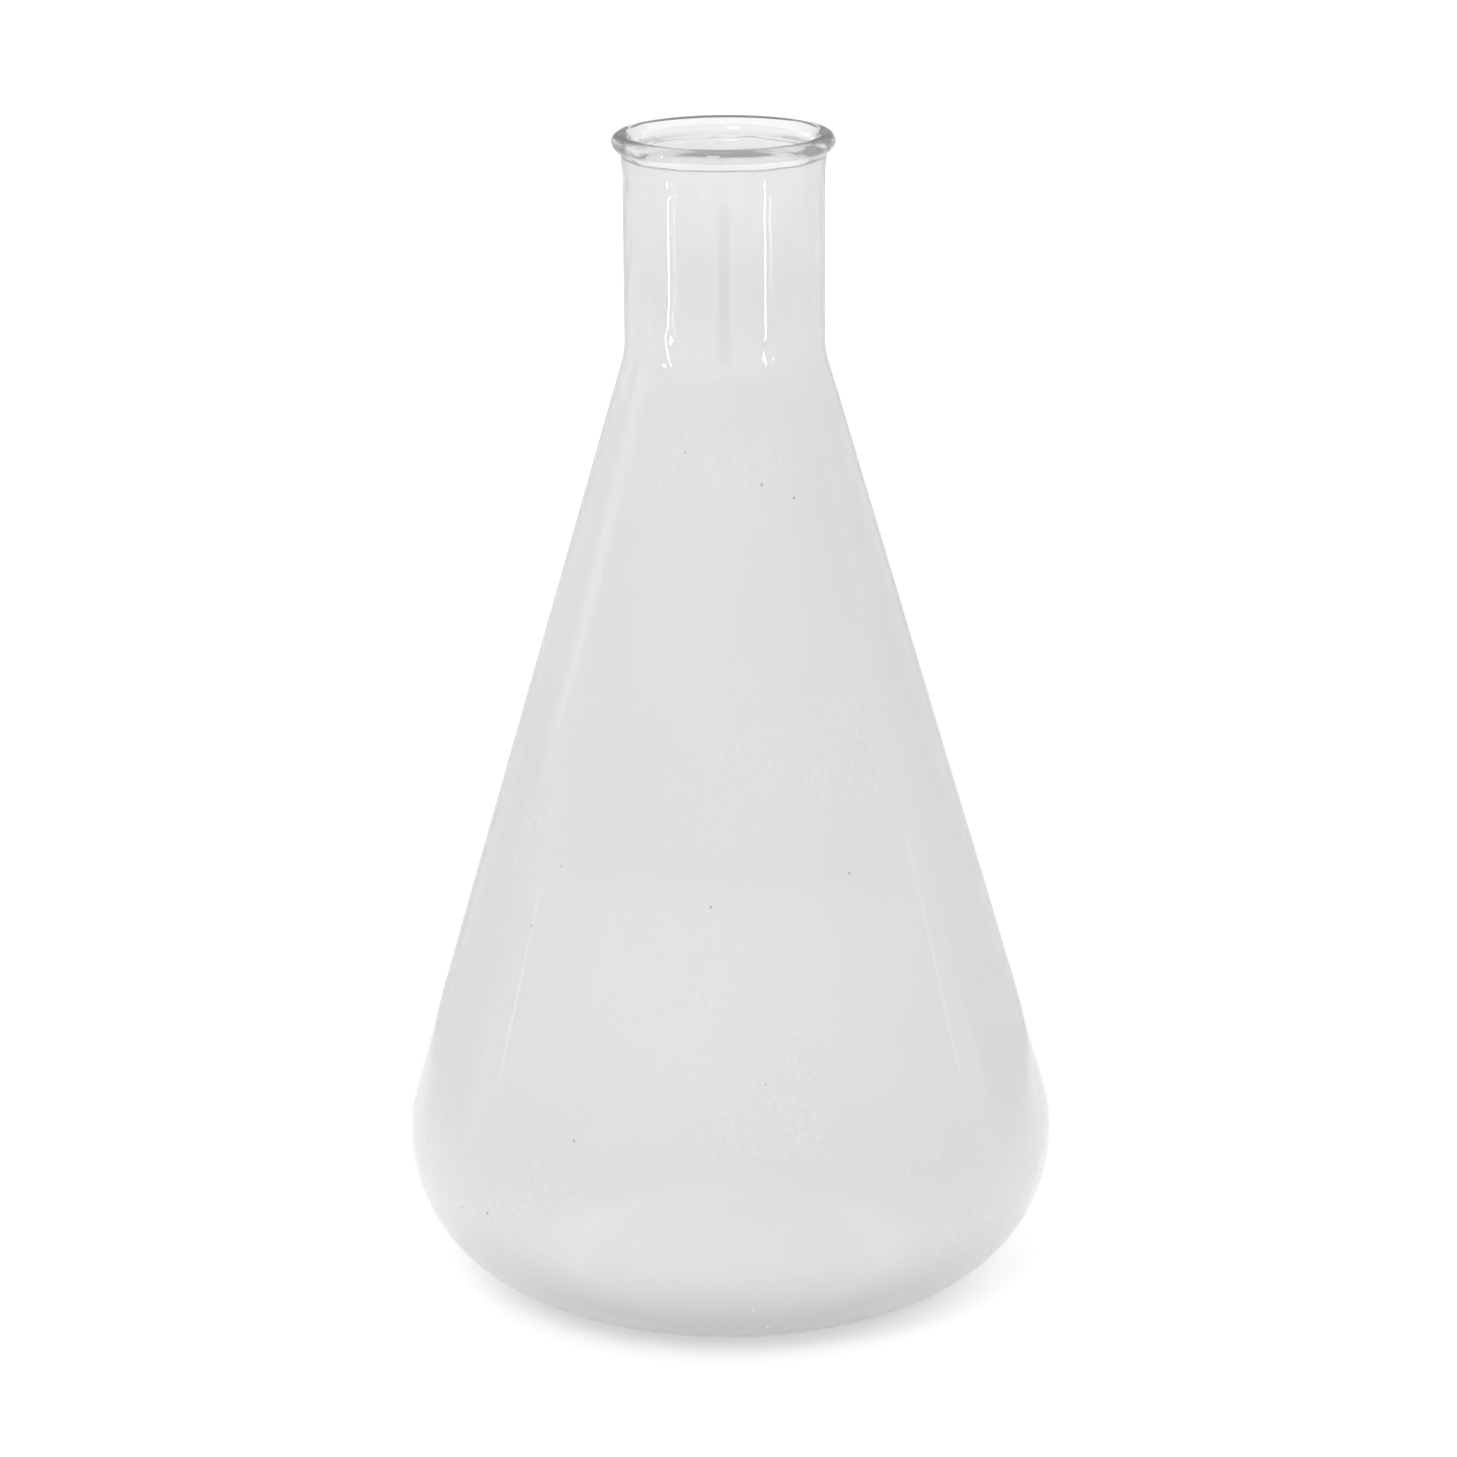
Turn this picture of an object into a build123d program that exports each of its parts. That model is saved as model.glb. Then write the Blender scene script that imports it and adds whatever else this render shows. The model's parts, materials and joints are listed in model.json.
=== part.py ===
from build123d import *
from math import cos, radians, sin, tan
import os

os.makedirs("parts", exist_ok=True)

# Conical laboratory flask with a rolled lip, about two litres, in millimetres.
# The real flask is one wall of blown glass, so each zone of that wall is a
# solid of its own, and neighbouring zones meet face to face.
# The frame stands on the table: origin at the centre of the base, +Z up.

# Driving dimensions
body_diameter = 166.0        # widest, low on the body
height = 297.0               # table to the top of the lip
neck_diameter = 50.0         # outside of the straight neck
bore_diameter = 43.0         # inside of the neck, where a stopper seats
lip_diameter = 55.5          # outside of the rolled lip
lip_height = 3.9             # from the crease under the lip to its top
cone_half_angle = 16.25      # slope of the body, in degrees from the vertical
heel_radius = 38.0           # outside of the large round between base and body
heel_wall = 2.3              # glass thickness from the base round to the body
base_centre_wall = 3.2       # glass thickness on the axis
push_up = 2.5                # how far the middle of the base is domed inwards
standing_ring_width = 6.0    # flat ring that touches the table
shoulder_radius = 20.0       # outside of the hollow blend from body to neck
flare_height = 11.0          # top of the neck that opens out under the lip
flare_width = 0.7            # how far it opens out
mouth_round = 3.8            # fire-polished inner edge of the mouth, opening out over the lip

# Radii and heights worked out from them
body_radius = body_diameter / 2
neck_radius = neck_diameter / 2
bore_radius = bore_diameter / 2
neck_wall = neck_radius - bore_radius
lip_round = lip_height / 2
lip_centre_radius = lip_diameter / 2 - lip_round
lip_bottom = height - lip_height
base_radius = body_radius - heel_radius
ring_inner_radius = base_radius - standing_ring_width

# The heel is an arc about this point, up to where the sloping body leaves it.
slope = radians(cone_half_angle)
heel_centre = Vector(base_radius, heel_radius)
across_wall = Vector(cos(slope), sin(slope))
heel_outer_top = heel_centre + across_wall * heel_radius
heel_inner_top = heel_centre + across_wall * (heel_radius - heel_wall)

# The body's outer line meets the neck's outer line at this height. The blend
# between them is an arc about a point outside the glass.
corner_height = heel_outer_top.Y + (heel_outer_top.X - neck_radius) / tan(slope)
shoulder_top = corner_height + shoulder_radius * tan(slope / 2)
shoulder_centre = Vector(neck_radius + shoulder_radius, shoulder_top)
shoulder_outer_bottom = shoulder_centre - across_wall * shoulder_radius
shoulder_inner_bottom = shoulder_centre - across_wall * (shoulder_radius + neck_wall)


def on_arc(centre, radius, angle):
    """Point of an arc in the section plane, its angle in degrees from outwards."""
    turn = radians(angle)
    return centre + Vector(cos(turn), sin(turn)) * radius


# Base: thickest on the axis, domed inwards, standing on a flat outer ring.
with BuildPart() as base:
    with BuildSketch(Plane.XZ):
        with BuildLine():
            Line((0, push_up + base_centre_wall), (0, push_up))
            Spline((0, push_up), (ring_inner_radius, 0), tangents=((1, 0), (1, 0)))
            Line((ring_inner_radius, 0), (base_radius, 0))
            Line((base_radius, 0), (base_radius, heel_wall))
            Spline(
                (base_radius, heel_wall),
                (0, push_up + base_centre_wall),
                tangents=((-1, 0), (-1, 0)),
            )
        make_face()
    revolve(axis=Axis.Z)
base.part.label = "base"

# Heel: the large round from the standing ring up to the sloping body.
heel_middle_angle = (cone_half_angle - 90) / 2
with BuildPart() as heel:
    with BuildSketch(Plane.XZ):
        with BuildLine():
            ThreePointArc(
                (base_radius, 0),
                on_arc(heel_centre, heel_radius, heel_middle_angle),
                heel_outer_top,
            )
            Line(heel_outer_top, heel_inner_top)
            ThreePointArc(
                heel_inner_top,
                on_arc(heel_centre, heel_radius - heel_wall, heel_middle_angle),
                (base_radius, heel_wall),
            )
            Line((base_radius, heel_wall), (base_radius, 0))
        make_face()
    revolve(axis=Axis.Z)
heel.part.label = "heel"

# Conical body: its wall thickens gently towards the neck.
with BuildPart() as conical_body:
    with BuildSketch(Plane.XZ):
        with BuildLine():
            Polyline(
                heel_outer_top,
                shoulder_outer_bottom,
                shoulder_inner_bottom,
                heel_inner_top,
                close=True,
            )
        make_face()
    revolve(axis=Axis.Z)
conical_body.part.label = "conical_body"

# Shoulder: the hollow blend from the slope to the upright neck.
shoulder_middle_angle = 180 + cone_half_angle / 2
with BuildPart() as shoulder:
    with BuildSketch(Plane.XZ):
        with BuildLine():
            ThreePointArc(
                shoulder_outer_bottom,
                on_arc(shoulder_centre, shoulder_radius, shoulder_middle_angle),
                (neck_radius, shoulder_top),
            )
            Line((neck_radius, shoulder_top), (bore_radius, shoulder_top))
            ThreePointArc(
                (bore_radius, shoulder_top),
                on_arc(shoulder_centre, shoulder_radius + neck_wall, shoulder_middle_angle),
                shoulder_inner_bottom,
            )
            Line(shoulder_inner_bottom, shoulder_outer_bottom)
        make_face()
    revolve(axis=Axis.Z)
shoulder.part.label = "shoulder"

# Neck: a straight tube that opens out a little just under the lip.
with BuildPart() as neck:
    with BuildSketch(Plane.XZ):
        with BuildLine():
            flare_start = (neck_radius, lip_bottom - flare_height)
            flare_end = (neck_radius + flare_width, lip_bottom)
            Line((neck_radius, shoulder_top), flare_start)
            TangentArc(flare_start, flare_end, tangent=(0, 1))
            Line(flare_end, (bore_radius, lip_bottom))
            Line((bore_radius, lip_bottom), (bore_radius, shoulder_top))
            Line((bore_radius, shoulder_top), (neck_radius, shoulder_top))
        make_face()
    revolve(axis=Axis.Z)
neck.part.label = "neck"

# Lip: a rolled, fire-polished bead whose inside opens out in one large round.
with BuildPart() as lip:
    with BuildSketch(Plane.XZ):
        with BuildLine():
            mouth_centre = Vector(bore_radius + mouth_round, height - mouth_round)
            bead_centre = Vector(lip_centre_radius, height - lip_round)
            Line((bore_radius, lip_bottom), (bore_radius, mouth_centre.Y))
            ThreePointArc(
                (bore_radius, mouth_centre.Y),
                on_arc(mouth_centre, mouth_round, 135),
                (mouth_centre.X, height),
            )
            Line((mouth_centre.X, height), (lip_centre_radius, height))
            ThreePointArc(
                (lip_centre_radius, height),
                on_arc(bead_centre, lip_round, 0),
                (lip_centre_radius, lip_bottom),
            )
            Line((lip_centre_radius, lip_bottom), (bore_radius, lip_bottom))
        make_face()
    revolve(axis=Axis.Z)
lip.part.label = "lip"

for zone in (base, heel, conical_body, shoulder, neck, lip):
    export_step(zone.part, f"parts/{zone.part.label}.step")

print(f"shoulder top at {shoulder_top:.2f} mm, bore wall ends at {height - mouth_round:.2f} mm")
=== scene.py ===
import json
from math import cos, exp, pi, radians, sin, tan

import bpy
from mathutils import Matrix, Vector, noise


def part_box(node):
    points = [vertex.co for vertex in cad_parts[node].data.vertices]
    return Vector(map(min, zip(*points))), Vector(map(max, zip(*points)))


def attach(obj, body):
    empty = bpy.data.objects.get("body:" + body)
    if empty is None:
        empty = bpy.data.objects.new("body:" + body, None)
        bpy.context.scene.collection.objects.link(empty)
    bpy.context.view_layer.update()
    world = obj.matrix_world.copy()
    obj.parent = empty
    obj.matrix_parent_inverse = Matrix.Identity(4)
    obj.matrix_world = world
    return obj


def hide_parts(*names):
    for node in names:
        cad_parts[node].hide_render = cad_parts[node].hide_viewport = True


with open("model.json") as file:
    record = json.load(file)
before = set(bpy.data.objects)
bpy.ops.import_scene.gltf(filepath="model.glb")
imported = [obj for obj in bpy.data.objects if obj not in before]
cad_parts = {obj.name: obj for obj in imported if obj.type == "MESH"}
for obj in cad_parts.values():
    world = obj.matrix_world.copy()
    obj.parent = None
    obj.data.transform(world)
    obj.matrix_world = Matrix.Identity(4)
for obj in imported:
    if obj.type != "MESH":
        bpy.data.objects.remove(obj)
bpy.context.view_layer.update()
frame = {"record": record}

MM = 0.001

# ---------------------------------------------------------------- the glass wall
# Radii and heights come from the CAD zones, so the one seamless wall made here
# lies on their faces.
_, base_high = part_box("base")
_, heel_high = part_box("heel")
shoulder_low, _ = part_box("shoulder")
neck_low, neck_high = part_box("neck")
lip_low, lip_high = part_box("lip")

BODY_RADIUS = heel_high.x
BASE_RADIUS = base_high.x
HEEL_RADIUS = BODY_RADIUS - BASE_RADIUS
HEIGHT = lip_high.z
LIP_RADIUS = lip_high.x
LIP_ROUND = (lip_high.z - lip_low.z) / 2
SHOULDER_TOP = neck_low.z
bore = next(m for m in frame["record"]["mounts"] if m["name"] == "neck_bore")
BORE_RADIUS = bore["dims"]["r_mm"] * MM
NECK_WALL = 3.5 * MM
NECK_RADIUS = BORE_RADIUS + NECK_WALL
HEEL_WALL = 2.3 * MM
PUSH_UP = 2.5 * MM
STANDING_RING = 6.0 * MM
SLOPE = radians(16.25)
SHOULDER_RADIUS = 20.0 * MM
FLARE_HEIGHT = 11.0 * MM
MOUTH_ROUND = 3.8 * MM
FLARE_STEPS = 20
BEAD_START = -50             # degrees from level where the bead rises from the sloping crease
FOLD_HEIGHT = 5.2 * MM       # from the top of the lip down to the fold line inside it

AROUND = 304                 # steps round the axis
FRONT = -pi / 2              # turn of the side that faces the camera

# Waves of blown glass: how far they go in, and the size of the lumps along each axis.
OUTER_WAVE = 0.10 * MM
OUTER_LUMPS = (0.013, 0.013, 0.030)
INNER_WAVE = 0.30 * MM
INNER_LUMPS = (0.014, 0.014, 0.045)
LIP_WAVE = 0.22 * MM
LIP_LUMPS = (0.005, 0.005, 0.003)
LIP_WAVE_FROM = HEIGHT - 2.5 * FOLD_HEIGHT

# The chip in the lip, on the right.
CHIP_TURN = radians(4)
CHIP_WIDTH = 0.13            # in radians
CHIP_DEPTH = 0.7 * MM
CHIP_LUMPS = (0.0030, 0.0030, 0.0024)
CHIP_FROM = HEIGHT - 2 * FOLD_HEIGHT

# The fold line: a groove that wanders up and down and is deepest at the front. Its two noises
# go round a circle one unit in radius, each at its own level.
FOLD_WANDER = 0.9 * MM
FOLD_WANDER_LUMPS = (0.22, 0.22, 0.22)
FOLD_WANDER_LEVEL = 0.3
FOLD_WIDTH = 0.30 * MM
FOLD_DEPTH = 0.45 * MM
FOLD_EXTRA_DEPTH = 0.65 * MM
FOLD_DEPTH_LUMPS = (0.09, 0.09, 0.09)
FOLD_DEPTH_LEVEL = 2.0
FOLD_LEFT_BEHIND = 0.25      # share of the depth that is left away from the front
FOLD_FRONT_WIDTH = 1.6       # in radians

# Dents in the outside: turn, height, reach sideways and upwards, and depth.
DENTS = [
    (radians(-118), 0.2545, 1.3 * MM, 1.9 * MM, 0.10 * MM),
    (radians(-123), 0.2495, 1.2 * MM, 1.8 * MM, 0.12 * MM),
    (radians(-119), 0.2455, 1.1 * MM, 1.7 * MM, 0.13 * MM),
    (radians(-125), 0.2420, 1.3 * MM, 1.9 * MM, 0.15 * MM),
    (radians(-120), 0.2385, 1.0 * MM, 1.6 * MM, 0.13 * MM),
    (radians(-66), 0.2460, 1.6 * MM, 1.6 * MM, 0.08 * MM),
    (radians(-62), 0.2405, 1.7 * MM, 1.7 * MM, 0.12 * MM),
    (radians(-60), 0.2790, 2.0 * MM, 2.0 * MM, 0.06 * MM),
]

BUBBLE_THICKNESS = 0.9 * MM
BUBBLE_DEPTH = 1.1 * MM      # of the middle of a bubble, under the outside of the wall

# Bubbles in the wall of body and neck: azimuth from the front and towards the right in degrees,
# height, length, width and lean in degrees.
BUBBLES = [
    (-54, 0.2805, 1.9 * MM, 0.30 * MM, -6),
    (-70, 0.231, 3.2 * MM, 0.45 * MM, 4),
    (-64, 0.224, 2.4 * MM, 0.40 * MM, -6),
    (-72, 0.216, 3.6 * MM, 0.45 * MM, 3),
    (-60, 0.207, 1.8 * MM, 0.40 * MM, 10),
    (-75, 0.176, 3.0 * MM, 0.50 * MM, 0),
    (-68, 0.102, 3.4 * MM, 0.50 * MM, -5),
    (62, 0.176, 3.4 * MM, 0.55 * MM, 2),
    (66, 0.168, 2.6 * MM, 0.45 * MM, -4),
    (44, 0.116, 4.2 * MM, 1.30 * MM, 3),
    (63, 0.098, 4.4 * MM, 0.50 * MM, -3),
    (67, 0.090, 3.0 * MM, 0.45 * MM, 5),
    (150, 0.180, 3.4 * MM, 0.50 * MM, 6),
    (-140, 0.120, 3.0 * MM, 0.80 * MM, -8),
    (170, 0.085, 2.6 * MM, 0.50 * MM, 4),
]

GLASS_IOR = 1.5
BODY_CLEAR = 0.42            # share of each surface that lets light straight through
NECK_CLEAR = 0.70
LIP_CLEAR = 0.90
SPECK_CLEAR = 0.15           # how much of that is left where a speck lies
PLAIN_ROUGHNESS = 0.012
SUGAR_ROUGHNESS = 0.09       # in the bumpy patches
PLAIN_BUMP = 0.02
SUGAR_BUMP = 0.55
BUMP_HEIGHT = 0.25 * MM
ABSORPTION_COLOUR = (0.5, 0.5, 0.49, 1)
ABSORPTION_DENSITY = 18.0
BODY_COLOUR = (0.940, 0.940, 0.934, 1)
CLOUD_COLOUR = (0.926, 0.925, 0.919, 1)
SUGAR_COLOUR = (0.972, 0.972, 0.967, 1)
DIRT_COLOUR = (0.30, 0.30, 0.28, 1)
NICK_COLOUR = (0.95, 0.95, 0.95, 1)
NECK_COLOUR = (0.968, 0.968, 0.963, 1)
# Painted shade: the heel is coloured darker low down, towards its outside edge.
HEEL_SHADE_COLOUR = (0.61, 0.61, 0.60, 1)
SHOULDER_COLOUR = (0.978, 0.978, 0.973, 1)

# Heights between which one look gives way to the next, measured from the top of the shoulder.
FILM_THINS = (-0.012, 0.026)
DIRT_BEGINS = (-0.002, -0.030)
TO_SHOULDER_COLOUR = (-0.014, 0.006)
TO_NECK_COLOUR = (0.006, 0.034)
# The same, measured from the bottom of the lip.
FILM_CLEARS = (-0.0045, -0.0005)
# The same, measured from the table.
NICKS_BEGIN = (0.022, 0.012)
# The painted shade on the heel: where it begins and where it is darkest.
HEEL_DARKENS = (0.034, 0.002)
HEEL_DARKENS_OVER = 0.012    # outwards from the edge of the base


def line(start, end, steps):
    """Points from start up to, but not including, end."""
    a, b = Vector(start), Vector(end)
    return [a.lerp(b, i / steps) for i in range(steps)]


def arc(centre, radius, start, end, steps):
    """Points on an arc in the section plane, angles in degrees from outwards, without the last."""
    points = []
    for i in range(steps):
        turn = radians(start + (end - start) * i / steps)
        points.append(Vector(centre) + Vector((cos(turn), sin(turn))) * radius)
    return points


def soft_step(start, end, steps):
    """Points on an S-shaped rise or fall between two points, level at both ends."""
    points = []
    for i in range(steps):
        t = i / steps
        points.append(Vector((
            start[0] + (end[0] - start[0]) * t,
            start[1] + (end[1] - start[1]) * t * t * (3 - 2 * t),
        )))
    return points


def section():
    """The wall's outline in two lists: up the outside from the axis, and back down the inside."""
    degrees = SLOPE * 180 / pi
    across = Vector((cos(SLOPE), sin(SLOPE)))
    heel_centre = Vector((BASE_RADIUS, HEEL_RADIUS))
    heel_outer = heel_centre + across * HEEL_RADIUS
    heel_inner = heel_centre + across * (HEEL_RADIUS - HEEL_WALL)
    shoulder_centre = Vector((NECK_RADIUS + SHOULDER_RADIUS, SHOULDER_TOP))
    shoulder_outer = shoulder_centre - across * SHOULDER_RADIUS
    shoulder_inner = shoulder_centre - across * (SHOULDER_RADIUS + NECK_WALL)
    flare_start = Vector((NECK_RADIUS, lip_low.z - FLARE_HEIGHT))
    flare_width = neck_high.x - NECK_RADIUS
    flare = [
        flare_start + Vector((flare_width * (i / FLARE_STEPS) ** 2, FLARE_HEIGHT * i / FLARE_STEPS))
        for i in range(FLARE_STEPS - 1)
    ]
    bead = Vector((LIP_RADIUS - LIP_ROUND, HEIGHT - LIP_ROUND))
    under = radians(BEAD_START)
    bead_start = bead + Vector((cos(under), sin(under))) * LIP_ROUND
    mouth = Vector((BORE_RADIUS + MOUTH_ROUND, HEIGHT - MOUTH_ROUND))
    fold_end = (BORE_RADIUS, HEIGHT - 2 * FOLD_HEIGHT + MOUTH_ROUND)
    floor_inside = base_high.z

    outside = soft_step((0, PUSH_UP), (BASE_RADIUS - STANDING_RING, 0), 10)
    outside += line((BASE_RADIUS - STANDING_RING, 0), (BASE_RADIUS, 0), 3)
    outside += arc(heel_centre, HEEL_RADIUS, -90, degrees, 40)
    outside += line(heel_outer, shoulder_outer, 36)
    outside += arc(shoulder_centre, SHOULDER_RADIUS, 180 + degrees, 180, 12)
    outside += line((NECK_RADIUS, SHOULDER_TOP), flare_start, 18)
    outside += flare[:-1]
    outside += line(flare[-1], bead_start, 6)
    outside += arc(bead, LIP_ROUND, BEAD_START, 90, 24)

    inside = line((bead.x, HEIGHT), (mouth.x, HEIGHT), 2)
    inside += arc(mouth, MOUTH_ROUND, 90, 180, 20)
    inside += line((BORE_RADIUS, mouth.y), fold_end, 30)
    inside += line(fold_end, (BORE_RADIUS, SHOULDER_TOP), 16)
    inside += arc(shoulder_centre, SHOULDER_RADIUS + NECK_WALL, 180, 180 + degrees, 12)
    inside += line(shoulder_inner, heel_inner, 32)
    inside += arc(heel_centre, HEEL_RADIUS - HEEL_WALL, degrees, -90, 30)
    inside += soft_step((BASE_RADIUS, HEEL_WALL), (0, floor_inside), 10)
    inside.append(Vector((0, floor_inside)))
    return outside, inside


def noise_at(place, size):
    """Smooth noise from 0 to 1 with lumps of about this size, which may differ along each axis."""
    scaled = Vector(place[i] / size[i] for i in range(3))
    return min(max(0.5 + 0.5 * noise.noise(scaled), 0.0), 1.0)


def bell(distance, width):
    """1 at no distance, falling smoothly to nothing past the width."""
    return exp(-(distance / width) ** 2)


def uneven(radius, turn, z, outer):
    """How far the glass stands in from the perfect section here. The fold line goes outwards."""
    place = (radius * cos(turn), radius * sin(turn), z)
    reach = min(radius / NECK_RADIUS, 1.0)
    if outer:
        inward = OUTER_WAVE * noise_at(place, OUTER_LUMPS)
    else:
        inward = INNER_WAVE * noise_at(place, INNER_LUMPS)
    if z > LIP_WAVE_FROM:
        inward += LIP_WAVE * noise_at(place, LIP_LUMPS) ** 2
    if z > CHIP_FROM:
        inward += CHIP_DEPTH * bell(turn - CHIP_TURN, CHIP_WIDTH) * noise_at(place, CHIP_LUMPS) ** 2
    if not outer:
        x, y = cos(turn), sin(turn)
        wander = noise_at((x, y, FOLD_WANDER_LEVEL), FOLD_WANDER_LUMPS)
        height = HEIGHT - FOLD_HEIGHT + (wander - 0.5) * FOLD_WANDER
        depth = FOLD_DEPTH + FOLD_EXTRA_DEPTH * noise_at((x, y, FOLD_DEPTH_LEVEL), FOLD_DEPTH_LUMPS)
        depth *= FOLD_LEFT_BEHIND + (1 - FOLD_LEFT_BEHIND) * bell(turn - FRONT, FOLD_FRONT_WIDTH)
        inward -= depth * bell(z - height, FOLD_WIDTH)
    for dent_turn, dent_height, sideways, upwards, depth in DENTS:
        if outer and abs(z - dent_height) < 3 * upwards:
            inward += depth * bell(radius * (turn - dent_turn), sideways) * bell(z - dent_height, upwards)
    return inward * reach


def revolve(name, outside, inside):
    """A closed mesh turned from an outline whose first and last points are on the axis."""
    first, last = outside[0], inside[-1]
    rings = [(point, True) for point in outside[1:]] + [(point, False) for point in inside[:-1]]
    vertices = [(0, 0, first.y)]
    for point, outer in rings:
        for i in range(AROUND):
            turn = 2 * pi * i / AROUND - pi
            radius = point.x - uneven(point.x, turn, point.y, outer)
            vertices.append((radius * cos(turn), radius * sin(turn), point.y))
    vertices.append((0, 0, last.y))
    faces = []
    top = len(vertices) - 1
    for i in range(AROUND):
        j = (i + 1) % AROUND
        faces.append((0, 1 + j, 1 + i))
        for ring in range(len(rings) - 1):
            a = 1 + ring * AROUND
            b = a + AROUND
            faces.append((a + i, a + j, b + j, b + i))
        a = 1 + (len(rings) - 1) * AROUND
        faces.append((a + i, a + j, top))
    for bubble in BUBBLES:
        add_bubble(vertices, faces, *bubble)
    mesh = bpy.data.meshes.new(name)
    mesh.from_pydata(vertices, [], faces)
    mesh.validate()
    mesh.shade_smooth()
    piece = bpy.data.objects.new(name, mesh)
    bpy.context.scene.collection.objects.link(piece)
    return piece


def wall_radius_at(z):
    """Outside radius of the neck or the sloping body at a height, and how steeply it widens downwards."""
    if z > SHOULDER_TOP:
        return NECK_RADIUS, 0.0
    top = NECK_RADIUS + SHOULDER_RADIUS * (1 - cos(SLOPE))
    return top + (shoulder_low.z - z) * tan(SLOPE), tan(SLOPE)


def add_bubble(vertices, faces, azimuth, z, length, width, tilt):
    """A flattened bubble blown into the wall: a closed cavity, so its faces look inwards."""
    turn = radians(azimuth - 90)
    out = Vector((cos(turn), sin(turn), 0))
    side = Vector((-sin(turn), cos(turn), 0))
    lean = radians(tilt)
    radius, widening = wall_radius_at(z)
    along = Vector((0, 0, cos(lean))) + side * sin(lean) - out * widening * cos(lean)
    along.normalize()
    across = along.cross(out).normalized()
    depth = across.cross(along).normalized()
    centre = out * (radius - BUBBLE_DEPTH) + Vector((0, 0, z))
    thickness = min(width, BUBBLE_THICKNESS)
    start = len(vertices)
    rings, steps = 10, 16
    vertices.append(tuple(centre - along * length / 2))
    for ring in range(1, rings):
        angle = pi * ring / rings
        middle = centre - along * cos(angle) * length / 2
        for i in range(steps):
            around = 2 * pi * i / steps
            reach = across * cos(around) * width / 2 + depth * sin(around) * thickness / 2
            vertices.append(tuple(middle + reach * sin(angle)))
    vertices.append(tuple(centre + along * length / 2))
    end = len(vertices) - 1
    for i in range(steps):
        j = (i + 1) % steps
        faces.append((start, start + 1 + i, start + 1 + j))
        for ring in range(rings - 2):
            a = start + 1 + ring * steps
            faces.append((a + i, a + steps + i, a + steps + j, a + j))
        a = start + 1 + (rings - 2) * steps
        faces.append((a + i, end, a + j))


def node(tree, kind, **settings):
    """Adds a shader node and sets its properties."""
    made = tree.nodes.new(kind)
    for name, value in settings.items():
        setattr(made, name, value)
    return made


def ramp(tree, value, low, high, start=0.0, end=1.0):
    """A smooth change from start to end as value goes from low to high."""
    made = node(tree, "ShaderNodeMapRange", interpolation_type="SMOOTHSTEP")
    for name, number in (("From Min", low), ("From Max", high), ("To Min", start), ("To Max", end)):
        made.inputs[name].default_value = number
    tree.links.new(value, made.inputs["Value"])
    return made.outputs["Result"]


def blend(tree, share, first, second):
    """A colour between first and second, each a colour or a socket."""
    made = node(tree, "ShaderNodeMix", data_type="RGBA")
    tree.links.new(share, made.inputs["Factor"])
    for socket, colour in ((made.inputs["A"], first), (made.inputs["B"], second)):
        if isinstance(colour, tuple):
            socket.default_value = colour
        else:
            tree.links.new(colour, socket)
    return made.outputs["Result"]


def grain(tree, place, scale, detail):
    """Noise with this many lumps to the metre."""
    made = node(tree, "ShaderNodeTexNoise")
    made.inputs["Scale"].default_value = scale
    made.inputs["Detail"].default_value = detail
    tree.links.new(place, made.inputs["Vector"])
    return made.outputs["Fac"]


def specks(tree, place, scale, size):
    """Scattered dots: 1 inside a dot, 0 between them. The size is a share of their spacing."""
    made = node(tree, "ShaderNodeTexVoronoi")
    made.inputs["Scale"].default_value = scale
    tree.links.new(place, made.inputs["Vector"])
    return ramp(tree, made.outputs["Distance"], size, 0.6 * size)


def combine(tree, operation, first, second):
    made = node(tree, "ShaderNodeMath", operation=operation)
    tree.links.new(first, made.inputs[0])
    tree.links.new(second, made.inputs[1])
    return made.outputs["Value"]


def product(tree, first, second):
    return combine(tree, "MULTIPLY", first, second)


def largest(tree, first, second):
    return combine(tree, "MAXIMUM", first, second)


def above(level, heights):
    """Heights above a level, as heights above the table."""
    return [level + height for height in heights]


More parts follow.
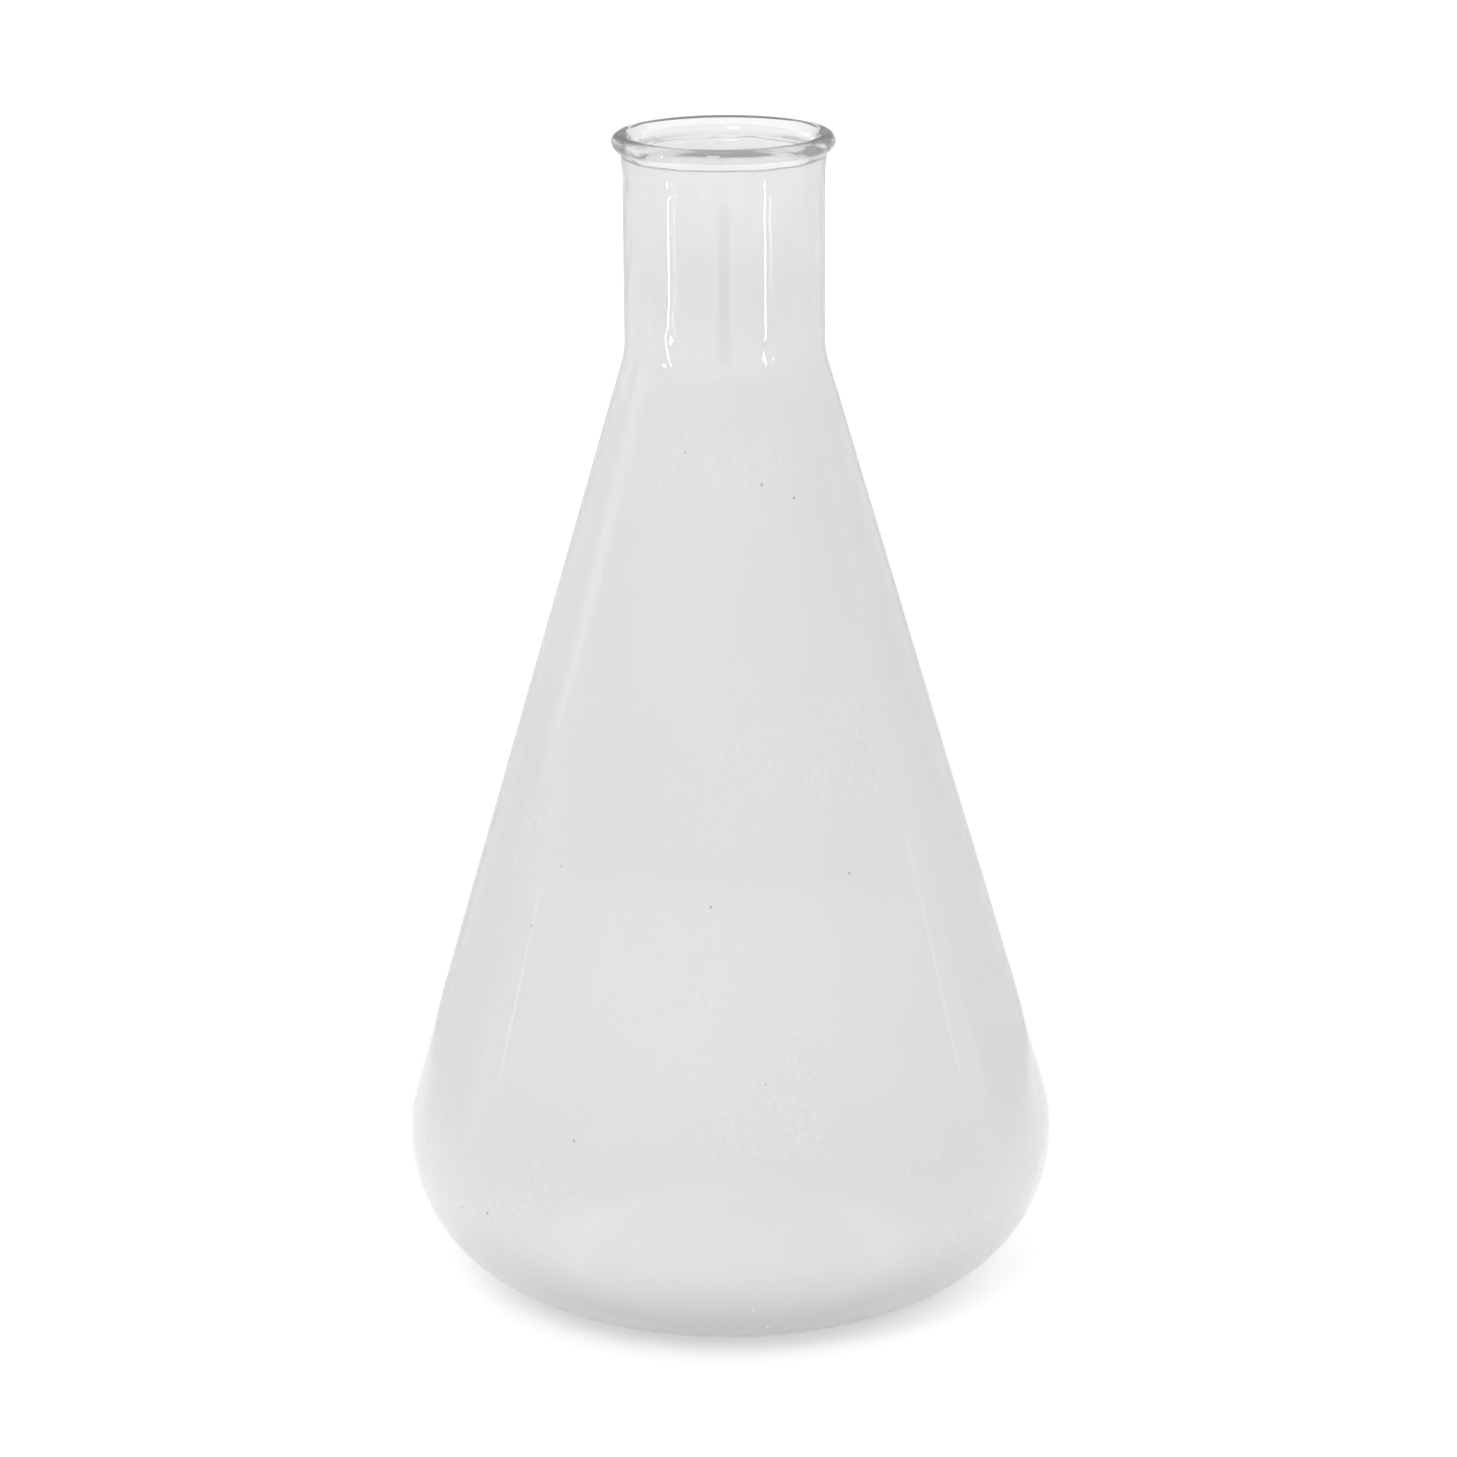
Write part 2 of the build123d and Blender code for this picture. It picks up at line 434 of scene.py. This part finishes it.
def glass_material():
    """Old clear glass under a grey film: thick in the body, thin in the neck, hardly any in the lip."""
    material = bpy.data.materials.new("clouded_glass")
    material.use_nodes = True
    tree = material.node_tree
    shader = tree.nodes["Principled BSDF"]
    shader.inputs["IOR"].default_value = GLASS_IOR

    place = node(tree, "ShaderNodeTexCoord").outputs["Object"]
    split = node(tree, "ShaderNodeSeparateXYZ")
    tree.links.new(place, split.inputs[0])
    z = split.outputs["Z"]

    film = ramp(tree, z, *above(SHOULDER_TOP, FILM_THINS), BODY_CLEAR, NECK_CLEAR)
    film = largest(tree, film, ramp(tree, z, *above(lip_low.z, FILM_CLEARS), 0.0, LIP_CLEAR))
    below_neck = ramp(tree, z, *above(SHOULDER_TOP, DIRT_BEGINS))
    dirt = product(tree, specks(tree, place, scale=85, size=0.036), below_neck)
    nicks = product(tree, specks(tree, place, scale=130, size=0.050), ramp(tree, z, *NICKS_BEGIN))
    solid = largest(tree, dirt, nicks)
    clear = product(tree, film, ramp(tree, solid, 0.0, 1.0, 1.0, SPECK_CLEAR))
    tree.links.new(clear, shader.inputs["Transmission Weight"])

    rough_patches = ramp(tree, grain(tree, place, scale=22, detail=3), low=0.46, high=0.66)
    fine = grain(tree, place, scale=800, detail=2)
    clouds = ramp(tree, grain(tree, place, scale=14, detail=2), low=0.42, high=0.70)
    body = blend(tree, clouds, BODY_COLOUR, CLOUD_COLOUR)
    sugar = product(tree, rough_patches, below_neck)
    grains = ramp(tree, fine, low=0.50, high=0.62)
    body = blend(tree, product(tree, sugar, grains), body, SUGAR_COLOUR)
    flat = node(tree, "ShaderNodeVectorMath", operation="MULTIPLY")
    flat.inputs[1].default_value = (1, 1, 0)
    tree.links.new(place, flat.inputs[0])
    from_axis = node(tree, "ShaderNodeVectorMath", operation="LENGTH")
    tree.links.new(flat.outputs["Vector"], from_axis.inputs[0])
    # Painted shade: the heel darker near the table and outside the edge of the base.
    painted_heel_shade = product(
        tree,
        ramp(tree, z, *HEEL_DARKENS),
        ramp(tree, from_axis.outputs["Value"], BASE_RADIUS, BASE_RADIUS + HEEL_DARKENS_OVER),
    )
    body = blend(tree, painted_heel_shade, body, HEEL_SHADE_COLOUR)
    body = blend(tree, ramp(tree, z, *above(SHOULDER_TOP, TO_SHOULDER_COLOUR)), body, SHOULDER_COLOUR)
    colour = blend(tree, ramp(tree, z, *above(SHOULDER_TOP, TO_NECK_COLOUR)), body, NECK_COLOUR)
    colour = blend(tree, dirt, colour, DIRT_COLOUR)
    colour = blend(tree, nicks, colour, NICK_COLOUR)
    tree.links.new(colour, shader.inputs["Base Color"])

    roughness = ramp(tree, sugar, 0.0, 1.0, PLAIN_ROUGHNESS, SUGAR_ROUGHNESS)
    tree.links.new(roughness, shader.inputs["Roughness"])
    bump = node(tree, "ShaderNodeBump")
    bump.inputs["Distance"].default_value = BUMP_HEIGHT
    tree.links.new(ramp(tree, sugar, 0.0, 1.0, PLAIN_BUMP, SUGAR_BUMP), bump.inputs["Strength"])
    tree.links.new(fine, bump.inputs["Height"])
    tree.links.new(bump.outputs["Normal"], shader.inputs["Normal"])

    depth = node(tree, "ShaderNodeVolumeAbsorption")
    depth.inputs["Color"].default_value = ABSORPTION_COLOUR
    depth.inputs["Density"].default_value = ABSORPTION_DENSITY
    tree.links.new(depth.outputs["Volume"], tree.nodes["Material Output"].inputs["Volume"])
    return material


wall = revolve("flask_wall", *section())
wall.data.materials.append(glass_material())
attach(wall, "root")
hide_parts("base", "heel", "conical_body", "shoulder", "neck", "lip")

# ---------------------------------------------------------------- camera
SENSOR_WIDTH = 36            # in mm
FOCAL_LENGTH = 125.5         # in mm
CAMERA_SIDE = 0.0002         # to the right
CAMERA_DISTANCE = 1.2367
CAMERA_HEIGHT = 0.5096
CAMERA_PITCH = 16.45         # degrees down
CAMERA_ROLL = -0.41          # degrees

camera_data = bpy.data.cameras.new("camera")
camera_data.lens = FOCAL_LENGTH
camera_data.sensor_width = SENSOR_WIDTH
camera_data.clip_end = 100
camera = bpy.data.objects.new("camera", camera_data)
bpy.context.scene.collection.objects.link(camera)
camera.matrix_world = (
    Matrix.Translation((CAMERA_SIDE, -CAMERA_DISTANCE, CAMERA_HEIGHT))
    @ Matrix.Rotation(radians(90 - CAMERA_PITCH), 4, "X")
    @ Matrix.Rotation(radians(CAMERA_ROLL), 4, "Z")
)
bpy.context.scene.camera = camera

# ---------------------------------------------------------------- studio
BOUNCES = 48                 # light crosses the wall many times near the outline
DIMS_FROM = 10               # degrees above the horizon
DIMMEST_FROM = 50
OVERHEAD = 0.8               # share of the light at the horizon

STRIP_DISTANCE = 1.0

# Strips for the long highlights: azimuth, width, bottom, top and strength.
STRIPS = {
    "left_strip": (-66, 0.026, 0.02, 0.20, 40),
    "left_strip_side": (-58, 0.012, 0.02, 0.12, 12),
    "right_strip": (46.7, 0.022, 0.02, 0.20, 40),
    "right_strip_side": (54, 0.012, 0.06, 0.20, 12),
    "side_strip_-1": (-94, 0.012, 0.02, 0.20, 3),
    "back_strip_-1": (-155, 0.024, 0.02, 0.20, 40),
    "side_strip_1": (94, 0.012, 0.02, 0.20, 3),
    "back_strip_1": (155, 0.024, 0.02, 0.20, 40),
}

# Low cards stand side by side round the front, from the left side to the right side.
LOW_CARDS = 12
LOW_CARDS_START = -82.5      # azimuth of the first
LOW_CARDS_STEP = 15
LOW_CARD_DISTANCE = 0.45
LOW_CARD_WIDTH = 0.119

FLOOR_REACH = 8
FLOOR_COLOUR = (0.6, 0.6, 0.6, 1)
FLOOR_ROUGHNESS = 0.9
# Painted shadow under the flask: the floor glows less close to the axis.
FLOOR_SHADE = 0.38           # glow of the floor close to the axis
FLOOR_GLOW = 0.58            # and further out
SHADE_START = 0.045          # distances from the axis between which it changes
SHADE_END = 0.072

scene = bpy.context.scene
scene.view_settings.view_transform = "Standard"
scene.cycles.max_bounces = BOUNCES
scene.cycles.transmission_bounces = BOUNCES
scene.cycles.glossy_bounces = BOUNCES


def studio_world():
    """White all round the horizon and below, a little dimmer overhead."""
    world = bpy.data.worlds.new("studio")
    world.use_nodes = True
    tree = world.node_tree
    sky = tree.nodes["Background"]
    place = node(tree, "ShaderNodeTexCoord")
    split = node(tree, "ShaderNodeSeparateXYZ")
    tree.links.new(place.outputs["Generated"], split.inputs[0])
    low, high = sin(radians(DIMS_FROM)), sin(radians(DIMMEST_FROM))
    strength = ramp(tree, split.outputs["Z"], low, high, 1.0, OVERHEAD)
    tree.links.new(strength, sky.inputs["Strength"])
    sky.inputs["Color"].default_value = (1, 1, 1, 1)
    return world


scene.world = studio_world()


def panel(name, place, target, width, height, power):
    """A soft white light that faces target and that the camera doesn't see."""
    data = bpy.data.lights.new(name, "AREA")
    data.shape = "RECTANGLE"
    data.size = width
    data.size_y = height
    data.energy = power
    light = bpy.data.objects.new(name, data)
    scene.collection.objects.link(light)
    light.location = place
    light.rotation_euler = (Vector(place) - Vector(target)).to_track_quat("Z", "Y").to_euler()
    light.visible_camera = False
    light.visible_transmission = False
    return light


def card(name, corners, strength):
    """A flat glowing card that shows only as a reflection, and lights nothing else."""
    mesh = bpy.data.meshes.new(name)
    mesh.from_pydata(corners, [], [range(len(corners))])
    piece = bpy.data.objects.new(name, mesh)
    scene.collection.objects.link(piece)
    material = bpy.data.materials.new(name)
    material.use_nodes = True
    shader = material.node_tree.nodes["Principled BSDF"]
    shader.inputs["Base Color"].default_value = (0, 0, 0, 1)
    shader.inputs["Specular IOR Level"].default_value = 0
    shader.inputs["Emission Color"].default_value = (1, 1, 1, 1)
    shader.inputs["Emission Strength"].default_value = strength
    material.cycles.emission_sampling = "NONE"
    mesh.materials.append(material)
    piece.visible_camera = False
    piece.visible_transmission = False
    piece.visible_diffuse = False
    piece.visible_shadow = False
    return piece


def standing_card(name, azimuth, distance, width, low, high, strength):
    """A card standing across the way to the flask, its azimuth in degrees from the front, to the right."""
    turn = radians(azimuth)
    middle = Vector((distance * sin(turn), -distance * cos(turn), 0))
    half = Vector((cos(turn), sin(turn), 0)) * width / 2
    up = Vector((0, 0, 1))
    corners = [
        middle - half + up * low,
        middle + half + up * low,
        middle + half + up * high,
        middle - half + up * high,
    ]
    return card(name, corners, strength)


def cross_card(name, half_width, y, low, high, strength):
    """A card standing straight across behind the flask."""
    corners = [(-half_width, y, low), (half_width, y, low), (half_width, y, high), (-half_width, y, high)]
    return card(name, corners, strength)


for name, (azimuth, *measures) in STRIPS.items():
    standing_card(name, azimuth, STRIP_DISTANCE, *measures)
# The streak down the middle of the neck.
standing_card("dark_card", azimuth=-0.7, distance=0.8, width=0.17, low=0.06, high=0.15, strength=0)
# The thin dark outline.
cross_card("rear_card", half_width=0.8, y=0.22, low=0, high=0.3, strength=0.78)
# The far edge of the lip. This card shows through the glass as well.
bench = cross_card("bench", half_width=0.05, y=0.16, low=0.05, high=0.2, strength=0.15)
bench.visible_transmission = True
# The highlight on the lip.
panel("front_window", place=(-0.25, -1.1, 1.0), target=(0, 0, 0.3), width=0.3, height=0.45, power=3.5)
# The paler slanting band at the upper left.
card("left_card", [
    (-0.6, 0.33, 0),
    (-0.6, 0, 0.34),
    (-0.6, -0.1, 0.6),
    (-0.6, 1.5, 0.6),
    (-0.6, 1.5, 0),
], strength=1.5)
# A grey card, high up behind the flask.
cross_card("back_card", half_width=1.5, y=1.6, low=0.42, high=1.8, strength=0.35)
for i in range(LOW_CARDS):
    azimuth = LOW_CARDS_START + LOW_CARDS_STEP * i
    standing_card(f"low_card_{i}", azimuth, LOW_CARD_DISTANCE, LOW_CARD_WIDTH, low=0, high=0.15, strength=1.0)


def floor_material():
    """Plain pale floor, with a painted shadow under the flask: it glows less close to the axis."""
    material = bpy.data.materials.new("pale_floor")
    material.use_nodes = True
    tree = material.node_tree
    shader = tree.nodes["Principled BSDF"]
    shader.inputs["Base Color"].default_value = FLOOR_COLOUR
    shader.inputs["Roughness"].default_value = FLOOR_ROUGHNESS
    shader.inputs["Emission Color"].default_value = (1, 1, 1, 1)
    place = node(tree, "ShaderNodeTexCoord")
    distance = node(tree, "ShaderNodeVectorMath", operation="LENGTH")
    tree.links.new(place.outputs["Object"], distance.inputs[0])
    # Painted shadow: the glow dims close to the axis.
    glow = ramp(tree, distance.outputs["Value"], SHADE_START, SHADE_END, FLOOR_SHADE, FLOOR_GLOW)
    tree.links.new(glow, shader.inputs["Emission Strength"])
    return material


floor_mesh = bpy.data.meshes.new("floor")
floor_mesh.from_pydata([
    (-FLOOR_REACH, -FLOOR_REACH, 0),
    (FLOOR_REACH, -FLOOR_REACH, 0),
    (FLOOR_REACH, FLOOR_REACH, 0),
    (-FLOOR_REACH, FLOOR_REACH, 0),
], [], [(0, 1, 2, 3)])
floor_mesh.materials.append(floor_material())
floor = bpy.data.objects.new("floor", floor_mesh)
scene.collection.objects.link(floor)
